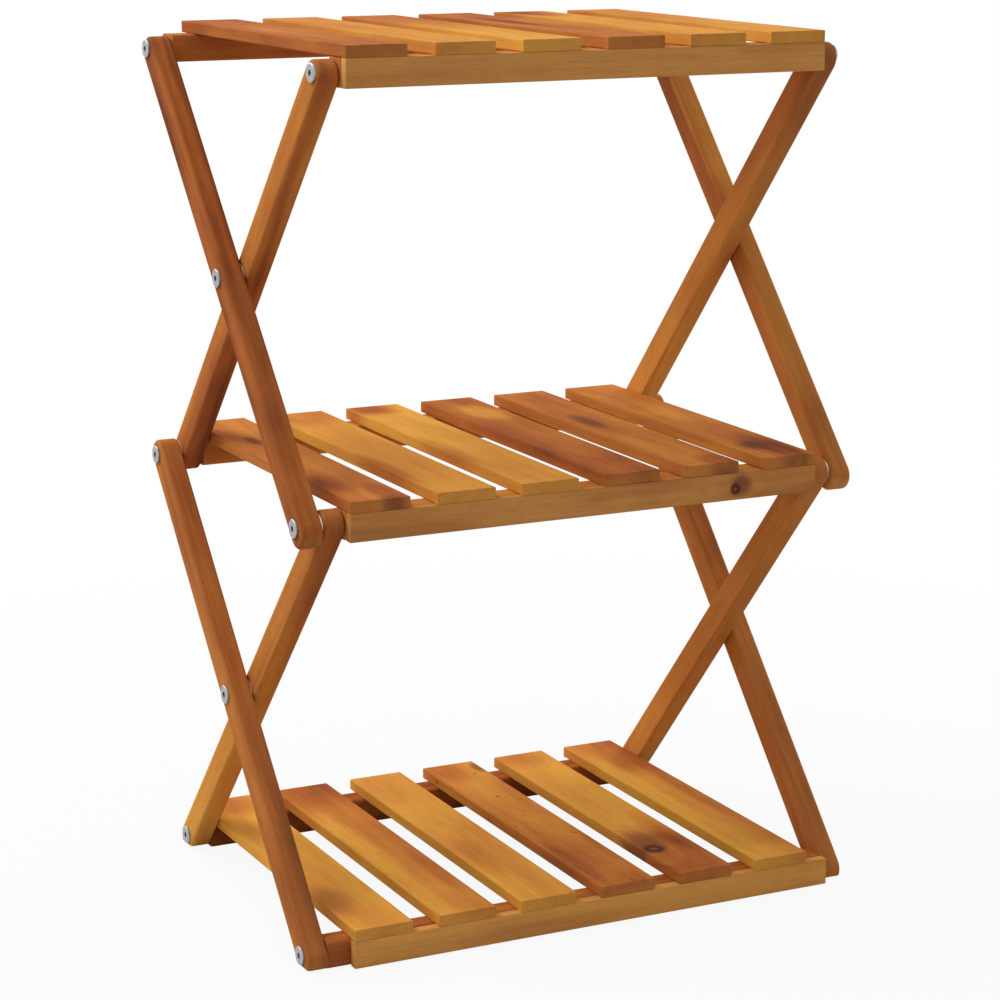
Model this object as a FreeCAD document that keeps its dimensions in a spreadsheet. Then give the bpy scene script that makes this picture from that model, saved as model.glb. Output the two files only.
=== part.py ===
import FreeCAD, Part
import math
import os
import Sketcher

# Folding three-tier slatted shelf, in millimetres.
# X runs to the right, Y to the back and Z up. The origin is on the floor, under the middle.

SIZES = [
    ("slat_count", 6),
    ("slat_width", 44.5),
    ("slat_gap", 20.4),
    ("slat_length", 310),
    ("slat_thickness", 8.5),
    ("slat_edge_radius", 0.9),
    ("slat_end_radius", 0.6),
    ("batten_thickness", 8),
    ("batten_height", 20),
    ("batten_edge_radius", 0.8),
    ("front_bar_width", 19),
    ("rear_bar_width", 22),
    ("bar_height", 20),
    ("bar_edge_radius", 2.5),
    ("leg_pivot_length", 410.5),
    ("leg_width", 22),
    ("leg_thickness", 16),
    ("leg_edge_radius", 2.5),
    ("leg_low_shift", 4),
    ("leg_top_shift", 3),
    ("foot_gap", 2.5),
    ("bolt_diameter", 6),
    ("bolt_bite", 15),
    ("bolt_head_diameter", 13.5),
    ("bolt_head_thickness", 1.6),
    ("bolt_head_radius", 0.7),
    ("socket_width", 4),
    ("socket_depth", 2),
    ("washer_diameter", 18),
    ("washer_thickness", 1),
    ("insert_diameter", 9),
    ("insert_length", 13),
    ("cross_insert_length", 10),
    ("screw_diameter", 3),
    ("screw_bite", 5),
    ("screw_head_diameter", 5.5),
    ("screw_head_height", 2),
    # clearances
    ("hook_clearance", 0.5),
    ("rest_clearance", 0.2),
    ("side_clearance", 0.6),
    ("bar_end_clearance", 0.3),
    ("washer_clearance", 0.1),
    ("head_clearance", 0.1),
    ("pivot_clearance", 0.08),
    ("open_pivot_clearance", 0.2),
    ("insert_clearance", 0.02),
    ("bore_end_clearance", 1),
    ("screw_clearance", 0.1),
]

doc = FreeCAD.newDocument("folding_shelf")
sheet = doc.addObject("Spreadsheet::Sheet", "Sizes")
for row, (alias, number) in enumerate(SIZES, 1):
    sheet.set(f"A{row}", alias)
    sheet.set(f"B{row}", str(number))
    sheet.setAlias(f"B{row}", alias)
doc.recompute()

SLAT_COUNT = int(sheet.slat_count)
SHELVES = ("bottom", "middle", "top")

# Places worked out from the sizes, as expressions.
SLAT_PITCH = "(Sizes.slat_width + Sizes.slat_gap)"
SLAT_FIELD = f"(Sizes.slat_count * {SLAT_PITCH} - Sizes.slat_gap)"
SLAT_HALF = "(Sizes.slat_length / 2)"
BATTEN_Y = f"(Sizes.batten_thickness / 2 - {SLAT_HALF})"
# The front bar lies behind the batten, and the rear pivot mirrors the front one.
PIVOT_Y = (
    f"({SLAT_HALF} - Sizes.batten_thickness - Sizes.hook_clearance - Sizes.front_bar_width / 2)"
)
PIVOT_RISE = f"sqrt(Sizes.leg_pivot_length^2 - 4 * {PIVOT_Y}^2)"
LEG_ANGLE = f"acos(2 * {PIVOT_Y} / Sizes.leg_pivot_length)"
# The lowest of bar and batten stands on the floor.
FOOT_Z = "max(Sizes.bar_height / 2; Sizes.batten_height - Sizes.bar_height / 2)"
PIVOT_Z = {
    "bottom": f"({FOOT_Z})",
    "middle": f"({FOOT_Z} + {PIVOT_RISE})",
    "top": f"({FOOT_Z} + 2 * {PIVOT_RISE})",
}
# Faces of the legs, counted outwards from the middle.
INNER_LEG_INSIDE = f"({SLAT_FIELD} / 2 + Sizes.side_clearance)"
INNER_LEG_OUTSIDE = f"({INNER_LEG_INSIDE} + Sizes.leg_thickness)"
WASHER_INSIDE = f"({INNER_LEG_OUTSIDE} + Sizes.washer_clearance)"
OUTER_LEG_INSIDE = f"({WASHER_INSIDE} + Sizes.washer_thickness + Sizes.washer_clearance)"
OUTER_LEG_OUTSIDE = f"({OUTER_LEG_INSIDE} + Sizes.leg_thickness)"
SHORT_BAR_HALF = f"({INNER_LEG_INSIDE} - Sizes.bar_end_clearance)"
LONG_BAR_HALF = f"({OUTER_LEG_INSIDE} - Sizes.bar_end_clearance)"

BOLT_RADIUS = "Sizes.bolt_diameter / 2"
PIVOT_RADIUS = "(Sizes.bolt_diameter / 2 + Sizes.pivot_clearance)"
OPEN_PIVOT_RADIUS = "(Sizes.bolt_diameter / 2 + Sizes.open_pivot_clearance)"
INSERT_BORE_RADIUS = "(Sizes.insert_diameter / 2 + Sizes.insert_clearance)"
SCREW_HOLE_RADIUS = "(Sizes.screw_diameter / 2 + Sizes.screw_clearance)"
SCREW_RECESS_RADIUS = "(Sizes.screw_head_diameter / 2 + Sizes.screw_clearance)"
SCREW_RECESS_DEPTH = "(Sizes.screw_head_height + Sizes.screw_clearance)"

nodes = []


def number_of(expression):
    """Value of an expression, as a plain number."""
    return float(sheet.evalExpression(expression))


def bind(thing, **expressions):
    """Tie properties of an object to expressions."""
    for name, expression in expressions.items():
        thing.setExpression(name, expression)


def place(thing, x="0", y="0", z="0", turn="0"):
    """Put an object at a place, turned about X."""
    spot = f"vector({x}; {y}; {z})"
    thing.setExpression("Placement", f"placement({spot}; rotation(vector(1; 0; 0); {turn}))")


def new_body(name):
    body = doc.addObject("PartDesign::Body", name)
    body.Label = name
    return body


def origin_part(body, role):
    return next(part for part in body.Origin.OriginFeatures if part.Role == role)


def new_sketch(body, name, plane, offset=None):
    """Sketch on one of the body's own planes, or at an offset from it."""
    sketch = body.newObject("Sketcher::SketchObject", name)
    sketch.AttachmentSupport = [(origin_part(body, plane), "")]
    sketch.MapMode = "FlatFace"
    if offset:
        bind(sketch, **{"AttachmentOffset.Base.z": offset})
    return sketch


def constrain(sketch, name, expression, kind, *points):
    """Add a named constraint whose value is an expression."""
    index = sketch.addConstraint(Sketcher.Constraint(kind, *points, number_of(expression)))
    sketch.renameConstraint(index, name)
    sketch.setExpression(f"Constraints.{name}", expression)


def draw_rectangle(sketch, width, height):
    """Rectangle centred on the sketch's origin."""
    half_width = number_of(width) / 2
    half_height = number_of(height) / 2
    corners = [
        FreeCAD.Vector(-half_width, -half_height, 0),
        FreeCAD.Vector(half_width, -half_height, 0),
        FreeCAD.Vector(half_width, half_height, 0),
        FreeCAD.Vector(-half_width, half_height, 0),
    ]
    for side in range(4):
        sketch.addGeometry(Part.LineSegment(corners[side], corners[(side + 1) % 4]))
    for side in range(4):
        sketch.addConstraint(Sketcher.Constraint("Coincident", side, 2, (side + 1) % 4, 1))
    for side in (0, 2):
        sketch.addConstraint(Sketcher.Constraint("Horizontal", side))
    for side in (1, 3):
        sketch.addConstraint(Sketcher.Constraint("Vertical", side))
    sketch.addConstraint(Sketcher.Constraint("Symmetric", 0, 1, 1, 2, -1, 1))
    constrain(sketch, "width", width, "DistanceX", 0, 1, 0, 2)
    constrain(sketch, "height", height, "DistanceY", 1, 1, 1, 2)


def draw_circles(sketch, circles):
    """Circles on the sketch's horizontal axis, as (distance along it, radius)."""
    for index, (distance, radius) in enumerate(circles):
        centre = FreeCAD.Vector(number_of(distance), 0, 0)
        circle = Part.Circle(centre, FreeCAD.Vector(0, 0, 1), number_of(radius))
        sketch.addGeometry(circle)
        constrain(sketch, f"radius_{index}", radius, "Radius", index)
        if distance == "0":
            sketch.addConstraint(Sketcher.Constraint("Coincident", index, 3, -1, 1))
        else:
            sketch.addConstraint(Sketcher.Constraint("PointOnObject", index, 3, -1))
            constrain(sketch, f"distance_{index}", distance, "DistanceX", -1, 1, index, 3)


def draw_slot(sketch, behind, ahead, width):
    """Outline with round ends along the horizontal axis, centred behind and ahead of the origin."""
    low = -number_of(behind)
    high = number_of(ahead)
    radius = number_of(width) / 2
    up = FreeCAD.Vector(0, 0, 1)
    quarter = math.pi / 2
    low_circle = Part.Circle(FreeCAD.Vector(low, 0, 0), up, radius)
    high_circle = Part.Circle(FreeCAD.Vector(high, 0, 0), up, radius)
    sketch.addGeometry(Part.ArcOfCircle(low_circle, quarter, 3 * quarter))
    sketch.addGeometry(
        Part.LineSegment(FreeCAD.Vector(low, -radius, 0), FreeCAD.Vector(high, -radius, 0))
    )
    sketch.addGeometry(Part.ArcOfCircle(high_circle, -quarter, quarter))
    sketch.addGeometry(
        Part.LineSegment(FreeCAD.Vector(high, radius, 0), FreeCAD.Vector(low, radius, 0))
    )
    for first, second in ((0, 1), (1, 2), (2, 3), (3, 0)):
        sketch.addConstraint(Sketcher.Constraint("Tangent", first, 2, second, 1))
    for arc in (0, 2):
        sketch.addConstraint(Sketcher.Constraint("PointOnObject", arc, 3, -1))
    constrain(sketch, "radius", f"({width}) / 2", "Radius", 0)
    constrain(sketch, "behind", behind, "DistanceX", 0, 3, -1, 1)
    constrain(sketch, "ahead", ahead, "DistanceX", -1, 1, 2, 3)


def draw_hexagon(sketch, across_flats):
    """Regular hexagon about the origin, with a corner on the horizontal axis."""
    radius = f"(({across_flats}) / sqrt(3))"
    reach = number_of(radius)
    turn = FreeCAD.Rotation(FreeCAD.Vector(0, 0, 1), 60)
    corner = FreeCAD.Vector(reach, 0, 0)
    for side in range(6):
        following = turn.multVec(corner)
        sketch.addGeometry(Part.LineSegment(corner, following))
        corner = following
    ring = Part.Circle(FreeCAD.Vector(0, 0, 0), FreeCAD.Vector(0, 0, 1), reach)
    sketch.addGeometry(ring, True)
    sketch.addConstraint(Sketcher.Constraint("Coincident", 6, 3, -1, 1))
    constrain(sketch, "radius", radius, "Radius", 6)
    for side in range(6):
        sketch.addConstraint(Sketcher.Constraint("Coincident", side, 2, (side + 1) % 6, 1))
        sketch.addConstraint(Sketcher.Constraint("PointOnObject", side, 1, 6))
    for side in range(1, 6):
        sketch.addConstraint(Sketcher.Constraint("Equal", 0, side))
    sketch.addConstraint(Sketcher.Constraint("PointOnObject", 0, 1, -1))


def pad(body, sketch, length, symmetric=False, backwards=False):
    feature = body.newObject("PartDesign::Pad", sketch.Name + "_pad")
    feature.Profile = sketch
    feature.SideType = "Symmetric" if symmetric else "One side"
    feature.Reversed = backwards
    bind(feature, Length=length)
    doc.recompute()
    return feature


def pocket(body, sketch, depth, along_normal):
    """Cut to a depth, along the sketch's normal or against it."""
    feature = body.newObject("PartDesign::Pocket", sketch.Name + "_pocket")
    feature.Profile = sketch
    feature.Reversed = along_normal
    bind(feature, Length=depth)
    doc.recompute()
    return feature


def fillet(body, base, edges, radius):
    feature = body.newObject("PartDesign::Fillet", base.Name + "_fillet")
    feature.Base = (base, edges)
    bind(feature, Radius=radius)
    doc.recompute()
    return feature


def repeat(body, features, axis, pitch, count):
    """Repeat features in a row along one of the body's axes."""
    feature = body.newObject("PartDesign::LinearPattern", features[0].Name + "_row")
    feature.Originals = features
    feature.Direction = (origin_part(body, axis), [""])
    bind(feature, Length=f"({pitch}) * (({count}) - 1)", Occurrences=count)
    body.Tip = feature
    doc.recompute()
    return feature


def edges_along(shape, direction):
    """Names of straight edges that run along a direction."""
    names = []
    for index, edge in enumerate(shape.Edges, 1):
        if isinstance(edge.Curve, Part.Line) and abs(edge.Curve.Direction.dot(direction)) > 0.999:
            names.append(f"Edge{index}")
    return names


def edges_at(shape, axis, level):
    """Names of edges that lie in the plane at a level of an axis, 0 for X to 2 for Z."""
    names = []
    for index, edge in enumerate(shape.Edges, 1):
        box = edge.BoundBox
        low = (box.XMin, box.YMin, box.ZMin)[axis]
        high = (box.XMax, box.YMax, box.ZMax)[axis]
        if abs(low - level) < 0.001 and abs(high - level) < 0.001:
            names.append(f"Edge{index}")
    return names


def hand_in(thing, name):
    thing.Label = name
    nodes.append(thing)


def slat_x(index):
    return f"(({index} - (Sizes.slat_count - 1) / 2) * {SLAT_PITCH})"


def slat_underside(shelf):
    return f"({PIVOT_Z[shelf]} + Sizes.bar_height / 2)"


def make_slat(shelf, index):
    """Slat with eased edges and a blind screw hole near each end, from below."""
    name = f"{shelf}_slat_{index + 1}"
    body = new_body(name)
    outline = new_sketch(body, name + "_outline", "XZ_Plane")
    draw_rectangle(outline, "Sizes.slat_width", "Sizes.slat_thickness")
    board = pad(body, outline, "Sizes.slat_length", symmetric=True)
    long_edges = edges_along(board.Shape, FreeCAD.Vector(0, 1, 0))
    eased = fillet(body, board, long_edges, "Sizes.slat_edge_radius")
    half = number_of(SLAT_HALF)
    end_edges = edges_at(eased.Shape, 1, -half) + edges_at(eased.Shape, 1, half)
    fillet(body, eased, end_edges, "Sizes.slat_end_radius")
    for end, y in (("rear", PIVOT_Y), ("front", BATTEN_Y)):
        hole = new_sketch(body, f"{name}_{end}_hole", "XY_Plane", "-Sizes.slat_thickness / 2")
        bind(hole, **{"AttachmentOffset.Base.y": y})
        draw_circles(hole, [("0", SCREW_HOLE_RADIUS)])
        pocket(body, hole, "Sizes.screw_bite + Sizes.screw_clearance", along_normal=True)
    place(body, slat_x(index), "0", f"{slat_underside(shelf)} + Sizes.slat_thickness / 2")
    hand_in(body, name)


def drill_screw_row(body, name, height, shift_x):
    """Row of screw holes through a bar from below, one under each slat."""
    hole = new_sketch(body, name + "_hole", "XY_Plane", f"-({height}) / 2")
    recess = new_sketch(body, name + "_recess", "XY_Plane", f"-({height}) / 2")
    cuts = []
    for sketch, radius, depth in (
        (hole, SCREW_HOLE_RADIUS, height),
        (recess, SCREW_RECESS_RADIUS, SCREW_RECESS_DEPTH),
    ):
        bind(sketch, **{"AttachmentOffset.Base.x": f"{slat_x(0)} - ({shift_x})"})
        draw_circles(sketch, [("0", radius)])
        cuts.append(pocket(body, sketch, depth, along_normal=True))
    repeat(body, cuts, "X_Axis", SLAT_PITCH, "Sizes.slat_count")


def make_bar(shelf, end):
    """Cross bar with a bore for a threaded insert and a bolt in each end."""
    name = f"{shelf}_{end}_bar"
    is_long = (shelf, end) in (("top", "rear"), ("bottom", "front"))
    half_length = LONG_BAR_HALF if is_long else SHORT_BAR_HALF
    height = "Sizes.bar_height"
    if end == "front":
        height = "(Sizes.bar_height - Sizes.rest_clearance)"
    body = new_body(name)
    outline = new_sketch(body, name + "_outline", "YZ_Plane")
    draw_rectangle(outline, f"Sizes.{end}_bar_width", height)
    stick = pad(body, outline, f"2 * {half_length}", symmetric=True)
    fillet(body, stick, edges_along(stick.Shape, FreeCAD.Vector(1, 0, 0)), "Sizes.bar_edge_radius")
    for side, sign in (("left", "-"), ("right", "")):
        for use, radius, depth in (
            ("insert", INSERT_BORE_RADIUS, "Sizes.insert_length"),
            ("bolt", PIVOT_RADIUS, "(Sizes.bolt_bite + Sizes.bore_end_clearance)"),
        ):
            bore = new_sketch(body, f"{name}_{side}_{use}", "YZ_Plane", f"{sign}{half_length}")
            draw_circles(bore, [("0", radius)])
            if end == "front":
                bind(bore, **{"AttachmentOffset.Base.y": "Sizes.rest_clearance / 2"})
            pocket(body, bore, depth, along_normal=(side == "left"))
    middle = PIVOT_Z[shelf]
    if end == "front":
        middle = f"{middle} - Sizes.rest_clearance / 2"
        place(body, "0", f"-{PIVOT_Y}", middle)
    else:
        drill_screw_row(body, name, height, "0")
        place(body, "0", PIVOT_Y, middle)
    hand_in(body, name)


def make_batten(shelf):
    """Batten under the front ends of the slats, in front of the front bar."""
    name = f"{shelf}_front_batten"
    left = f"({SLAT_FIELD} / 2)"
    # The bottom batten runs on to the right end of the long bar behind it.
    right = LONG_BAR_HALF if shelf == "bottom" else left
    shift = f"(({right} - {left}) / 2)"
    body = new_body(name)
    outline = new_sketch(body, name + "_outline", "YZ_Plane")
    draw_rectangle(outline, "Sizes.batten_thickness", "Sizes.batten_height")
    stick = pad(body, outline, f"{left} + {right}", symmetric=True)
    fillet(body, stick, edges_along(stick.Shape, FreeCAD.Vector(1, 0, 0)), "Sizes.batten_edge_radius")
    drill_screw_row(body, name, "Sizes.batten_height", shift)
    place(body, shift, BATTEN_Y, f"{slat_underside(shelf)} - Sizes.batten_height / 2")
    hand_in(body, name)


def make_leg(tier, layer, side):
    """Leg with round ends, a bolt hole at each end and one for the crossing bolt."""
    name = f"{tier}_{layer}_leg_{side}"
    body = new_body(name)
    outline = new_sketch(body, name + "_outline", "YZ_Plane")
    # An upper leg's top end is cut back under the top shelf.
    top_end = "Sizes.leg_pivot_length"
    if tier == "upper":
        top_end = "(Sizes.leg_pivot_length - Sizes.leg_top_shift)"
    draw_slot(outline, "Sizes.leg_low_shift", top_end, "Sizes.leg_width")
    stick = pad(body, outline, "Sizes.leg_thickness")
    thickness = number_of("Sizes.leg_thickness")
    rims = edges_at(stick.Shape, 0, 0) + edges_at(stick.Shape, 0, thickness)
    fillet(body, stick, rims, "Sizes.leg_edge_radius")
    top_radius = PIVOT_RADIUS
    if (tier, layer) == ("lower", "outer"):
        top_radius = OPEN_PIVOT_RADIUS
    holes = [("0", PIVOT_RADIUS), ("Sizes.leg_pivot_length", top_radius)]
    if layer == "outer":
        holes.append(("Sizes.leg_pivot_length / 2", PIVOT_RADIUS))
    else:
        outside = "0" if side == "left" else "Sizes.leg_thickness"
        bore = new_sketch(body, name + "_insert", "YZ_Plane", outside)
        draw_circles(bore, [("Sizes.leg_pivot_length / 2", INSERT_BORE_RADIUS)])
        depth = "Sizes.cross_insert_length + Sizes.bore_end_clearance"
        pocket(body, bore, depth, along_normal=(side == "left"))
    drilling = new_sketch(body, name + "_holes", "YZ_Plane")
    draw_circles(drilling, holes)
    pocket(body, drilling, "Sizes.leg_thickness", along_normal=True)
    faces = (OUTER_LEG_INSIDE, OUTER_LEG_OUTSIDE)
    if layer == "inner":
        faces = (INNER_LEG_INSIDE, INNER_LEG_OUTSIDE)
    x = f"-{faces[1]}" if side == "left" else faces[0]
    z = PIVOT_Z["bottom"] if tier == "lower" else PIVOT_Z["middle"]
    if layer == "outer":
        place(body, x, f"-{PIVOT_Y}", z, LEG_ANGLE)
    else:
        place(body, x, PIVOT_Y, z, f"180 deg - {LEG_ANGLE}")
    if tier == "upper":
        hand_in(body, name)
        return
    body.Label = name + "_uncut"
    foot = doc.addObject("Part::Cut", name + "_foot")
    foot.Base = body
    foot.Tool = under_feet
    hand_in(foot, name)


def hand_in_pair(left, name):
    """Group of a left-hand piece and its mirror image on the right."""
    left.Label = name + "_left"
    right = doc.addObject("Part::Mirroring", name + "_right")
    right.Source = left
    right.Normal = (1, 0, 0)
    right.Base = (0, 0, 0)
    pair = doc.addObject("Part::Compound", name)
    pair.Links = [left, right]
    hand_in(pair, name)


def make_ring(name, outer_diameter, bore_radius, length):
    body = new_body(name + "_ring")
    outline = new_sketch(body, name + "_outline", "YZ_Plane")
    draw_circles(outline, [("0", f"{outer_diameter} / 2"), ("0", bore_radius)])
    pad(body, outline, length)
    return body


def make_bolts(name, seat, tip, y, z):
    """Bolts from a leg's outer face inwards, seat and tip counted from the middle."""
    body = new_body(name + "_bolt")
    head_disc = new_sketch(body, name + "_head", "YZ_Plane")
    draw_circles(head_disc, [("0", "Sizes.bolt_head_diameter / 2")])
    head = pad(body, head_disc, "Sizes.bolt_head_thickness", backwards=True)
    rim = edges_at(head.Shape, 0, -number_of("Sizes.bolt_head_thickness"))
    fillet(body, head, rim, "Sizes.bolt_head_radius")
    shank_disc = new_sketch(body, name + "_shank", "YZ_Plane")
    draw_circles(shank_disc, [("0", BOLT_RADIUS)])
    pad(body, shank_disc, f"{seat} + Sizes.head_clearance - ({tip})")
    socket = new_sketch(body, name + "_socket", "YZ_Plane", "-Sizes.bolt_head_thickness")
    draw_hexagon(socket, "Sizes.socket_width")
    pocket(body, socket, "Sizes.socket_depth", along_normal=True)
    place(body, f"-({seat} + Sizes.head_clearance)", y, z)
    hand_in_pair(body, name + "_bolts")


def make_washers(name, y, z):
    ring = make_ring(name + "_washer", "Sizes.washer_diameter", PIVOT_RADIUS, "Sizes.washer_thickness")
    place(ring, f"-({WASHER_INSIDE} + Sizes.washer_thickness)", y, z)
    hand_in_pair(ring, name + "_washers")


def make_inserts(name, start, length, y, z):
    ring = make_ring(name + "_insert", "Sizes.insert_diameter", PIVOT_RADIUS, length)
    place(ring, f"-{start}", y, z)
    hand_in_pair(ring, name + "_inserts")


def make_screws(shelf):
    """Two rows of screws from below, through the rear bar and through the batten."""
    rows = []
    for end, y, height in (
        ("rear", PIVOT_Y, "Sizes.bar_height"),
        ("front", BATTEN_Y, "Sizes.batten_height"),
    ):
        name = f"{shelf}_{end}_screw"
        body = new_body(name)
        head_disc = new_sketch(body, name + "_head", "XY_Plane")
        draw_circles(head_disc, [("0", "Sizes.screw_head_diameter / 2")])
        head = pad(body, head_disc, "Sizes.screw_head_height", backwards=True)
        shank_disc = new_sketch(body, name + "_shank", "XY_Plane")
        draw_circles(shank_disc, [("0", "Sizes.screw_diameter / 2")])
        shank = pad(body, shank_disc, f"{height} - {SCREW_RECESS_DEPTH} + Sizes.screw_bite")
        repeat(body, [head, shank], "X_Axis", SLAT_PITCH, "Sizes.slat_count")
        place(body, slat_x(0), y, f"{slat_underside(shelf)} - {height} + {SCREW_RECESS_DEPTH}")
        rows.append(body)
    group = doc.addObject("Part::Compound", f"{shelf}_slat_screws")
    group.Links = rows
    hand_in(group, f"{shelf}_slat_screws")


# Space under the feet, which trims the lower legs level: the rack stands on its bars.
under_feet = doc.addObject("Part::Box", "under_feet")
bind(
    under_feet,
    Length=f"2 * {OUTER_LEG_OUTSIDE}",
    Width="2 * Sizes.slat_length",
    Height="2 * Sizes.leg_width",
)
place(
    under_feet,
    f"-{OUTER_LEG_OUTSIDE}",
    "-Sizes.slat_length",
    "Sizes.foot_gap - 2 * Sizes.leg_width",
)

for shelf in SHELVES:
    for index in range(SLAT_COUNT):
        make_slat(shelf, index)
    make_batten(shelf)
    make_screws(shelf)
    for end, y in (("front", f"-{PIVOT_Y}"), ("rear", PIVOT_Y)):
        make_bar(shelf, end)
        place_name = f"{shelf}_{end}"
        seat, bar_half = OUTER_LEG_OUTSIDE, SHORT_BAR_HALF
        if place_name in ("top_rear", "bottom_front"):
            bar_half = LONG_BAR_HALF
        if place_name in ("top_front", "bottom_rear"):
            seat = INNER_LEG_OUTSIDE
        make_bolts(place_name, seat, f"{bar_half} - Sizes.bolt_bite", y, PIVOT_Z[shelf])
        make_inserts(place_name, bar_half, "Sizes.insert_length", y, PIVOT_Z[shelf])
        if shelf == "middle":
            make_washers(place_name, y, PIVOT_Z[shelf])

for tier, foot_shelf in (("lower", "bottom"), ("upper", "middle")):
    for layer in ("outer", "inner"):
        for side in ("left", "right"):
            make_leg(tier, layer, side)
    crossing = f"({PIVOT_Z[foot_shelf]} + {PIVOT_RISE} / 2)"
    cross_tip = f"{INNER_LEG_OUTSIDE} - Sizes.cross_insert_length"
    make_bolts(f"{tier}_cross", OUTER_LEG_OUTSIDE, cross_tip, "0", crossing)
    make_inserts(f"{tier}_cross", INNER_LEG_OUTSIDE, "Sizes.cross_insert_length", "0", crossing)
    make_washers(f"{tier}_cross", "0", crossing)

doc.recompute()
for thing in doc.Objects:
    if "Invalid" in thing.State or "Error" in thing.State:
        raise RuntimeError(f"{thing.Label} did not compute: {thing.State}")

os.makedirs("parts", exist_ok=True)
for node in nodes:
    if node.Shape.isNull() or not node.Shape.isValid():
        raise RuntimeError(f"{node.Label} has no valid shape")
    node.Shape.exportStep(f"parts/{node.Label}.step")
print(len(nodes), "nodes")
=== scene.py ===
import math
from dataclasses import dataclass

import bpy
from bpy.props import FloatProperty, FloatVectorProperty, PointerProperty
from mathutils import Matrix, Vector


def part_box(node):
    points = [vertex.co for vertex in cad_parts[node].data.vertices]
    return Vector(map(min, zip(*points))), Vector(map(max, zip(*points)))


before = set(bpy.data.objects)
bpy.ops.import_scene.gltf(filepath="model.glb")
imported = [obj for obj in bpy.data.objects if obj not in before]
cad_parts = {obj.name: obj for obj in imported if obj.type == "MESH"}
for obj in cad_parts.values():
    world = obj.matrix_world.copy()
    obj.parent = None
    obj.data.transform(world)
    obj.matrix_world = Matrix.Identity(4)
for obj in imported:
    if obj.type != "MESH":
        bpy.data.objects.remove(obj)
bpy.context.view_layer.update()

bl_info = {
    "name": "Folding slatted shelf",
    "version": (1, 0, 0),
    "blender": (4, 5, 0),
    "location": "View3D > Sidebar > Shelf",
    "description": "Finishes a folding three-tier shelf of oiled acacia and sets its stage",
    "category": "Object",
}

MM = 0.001
WHITE = (1.0, 1.0, 1.0, 1.0)

# The usual curve from a paint card's numbers to light: a short straight foot, then a power.
CARD_FULL = 255
CURVE_FOOT = 0.04045
CURVE_SLOPE = 12.92
CURVE_OFFSET = 0.055
CURVE_POWER = 2.4


def paint(red, green, blue):
    """Linear colour from the red, green and blue of a paint card, each 0 to 255."""
    linear = []
    for part in (red, green, blue):
        share = part / CARD_FULL
        if share <= CURVE_FOOT:
            linear.append(share / CURVE_SLOPE)
        else:
            linear.append(((share + CURVE_OFFSET) / (1 + CURVE_OFFSET)) ** CURVE_POWER)
    return tuple(linear)


class ShelfWood(bpy.types.PropertyGroup):
    """Colours and figure of the acacia."""

    sapwood: FloatVectorProperty(
        name="Sapwood", description="Golden wood from the outside of the log",
        subtype="COLOR", size=3, min=0, max=1, default=paint(230, 169, 72),
    )
    amber: FloatVectorProperty(
        name="Amber wood", description="Orange wood between sapwood and heartwood",
        subtype="COLOR", size=3, min=0, max=1, default=paint(208, 136, 62),
    )
    heartwood: FloatVectorProperty(
        name="Heartwood", description="Reddish brown wood from the middle of the log",
        subtype="COLOR", size=3, min=0, max=1, default=paint(178, 102, 52),
    )
    deep_heartwood: FloatVectorProperty(
        name="Deep heartwood", description="Darkest streaks of the heartwood",
        subtype="COLOR", size=3, min=0, max=1, default=paint(121, 66, 42),
    )
    tan: FloatVectorProperty(
        name="Pale batten wood", description="Paler, greyer wood that the battens are cut from",
        subtype="COLOR", size=3, min=0, max=1, default=paint(224, 163, 95),
    )
    knot: FloatVectorProperty(
        name="Knot", description="Dark ring of a knot",
        subtype="COLOR", size=3, min=0, max=1, default=paint(72, 43, 38),
    )
    # The knot halo colour is also the colour of the painted shadow that a leg casts on a slat.
    knot_halo_and_shadow: FloatVectorProperty(
        name="Knot halo", description="Purplish wood round a knot",
        subtype="COLOR", size=3, min=0, max=1, default=paint(112, 66, 50),
    )
    knot_heart: FloatVectorProperty(
        name="Knot heart", description="Dry grey wood in the middle of a knot",
        subtype="COLOR", size=3, min=0, max=1, default=paint(138, 108, 80),
    )
    ring_spacing: FloatProperty(
        name="Ring spacing", description="Mean distance from one growth ring to the next",
        unit="LENGTH", min=0.001, max=0.03, default=0.009,
    )
    satin: FloatProperty(
        name="Satin", description="Roughness of the oiled surface between the pores",
        subtype="FACTOR", min=0.1, max=1, default=0.62,
    )
    pore_depth: FloatProperty(
        name="Pore depth", description="Depth of the open pores",
        unit="LENGTH", min=0, max=0.001, default=0.00012,
    )


class ShelfHardware(bpy.types.PropertyGroup):
    """Colours and polish of the bolts, washers and hidden fixings."""

    zinc: FloatVectorProperty(
        name="Zinc", description="Plating of the bolts",
        subtype="COLOR", size=3, min=0, max=1, default=paint(176, 179, 183),
    )
    bright_zinc: FloatVectorProperty(
        name="Bright zinc", description="Plating of the washers",
        subtype="COLOR", size=3, min=0, max=1, default=paint(236, 235, 232),
    )
    steel: FloatVectorProperty(
        name="Steel", description="Screws and threaded inserts",
        subtype="COLOR", size=3, min=0, max=1, default=paint(158, 156, 151),
    )
    polish: FloatProperty(
        name="Polish", description="Roughness of the plating",
        subtype="FACTOR", min=0.05, max=1, default=0.3,
    )


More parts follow.
